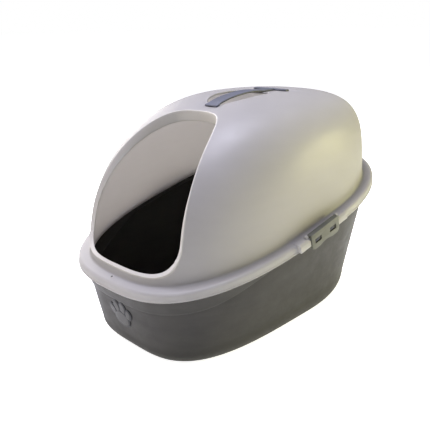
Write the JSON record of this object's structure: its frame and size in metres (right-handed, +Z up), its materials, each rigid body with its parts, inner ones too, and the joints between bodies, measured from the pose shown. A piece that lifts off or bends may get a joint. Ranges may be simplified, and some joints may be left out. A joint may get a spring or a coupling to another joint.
{
  "type": "cat litter box with hood",
  "caption": "Hooded cat litter box: deep oval tray with a rim sloping up to the rear, domed hood with a large front entrance, carry grip and hinged side clips.",
  "frame": {"origin": "centre of the overall box, on the floor", "axes": "+Z up, -Y the entrance end, +Y the deep rear end, +X to the right seen from behind"},
  "size_m": [0.408, 0.56, 0.3954],
  "materials": {
    "tray": "fine matte",
    "hood": "satin",
    "handle": "satin",
    "clip": "satin",
    "badge": "printed label"
  },
  "bodies": {
    "tray_body": {"tray": "tray", "paw_badge": "badge"},
    "hood_body": {"hood": "hood", "carry_handle": "handle"},
    "clip_left_body": {"clip_left": "clip"},
    "clip_right_body": {"clip_right": "clip"}
  },
  "joints": [
    {"name": "hood_lift", "type": "slide", "parent": "tray_body", "child": "hood_body", "axis": [0, 0, 1], "range_m": [0, 0.3]},
    {"name": "clip_right_hinge", "type": "hinge", "parent": "hood_body", "child": "clip_right_body", "pos_m": [0.196, -0.00632, 0.20259], "axis": [0, -0.9771, -0.213], "range_deg": [0, 95]},
    {"name": "clip_left_hinge", "type": "hinge", "parent": "hood_body", "child": "clip_left_body", "pos_m": [-0.196, -0.00632, 0.20259], "axis": [0, 0.9771, 0.213], "range_deg": [0, 95]}
  ]
}
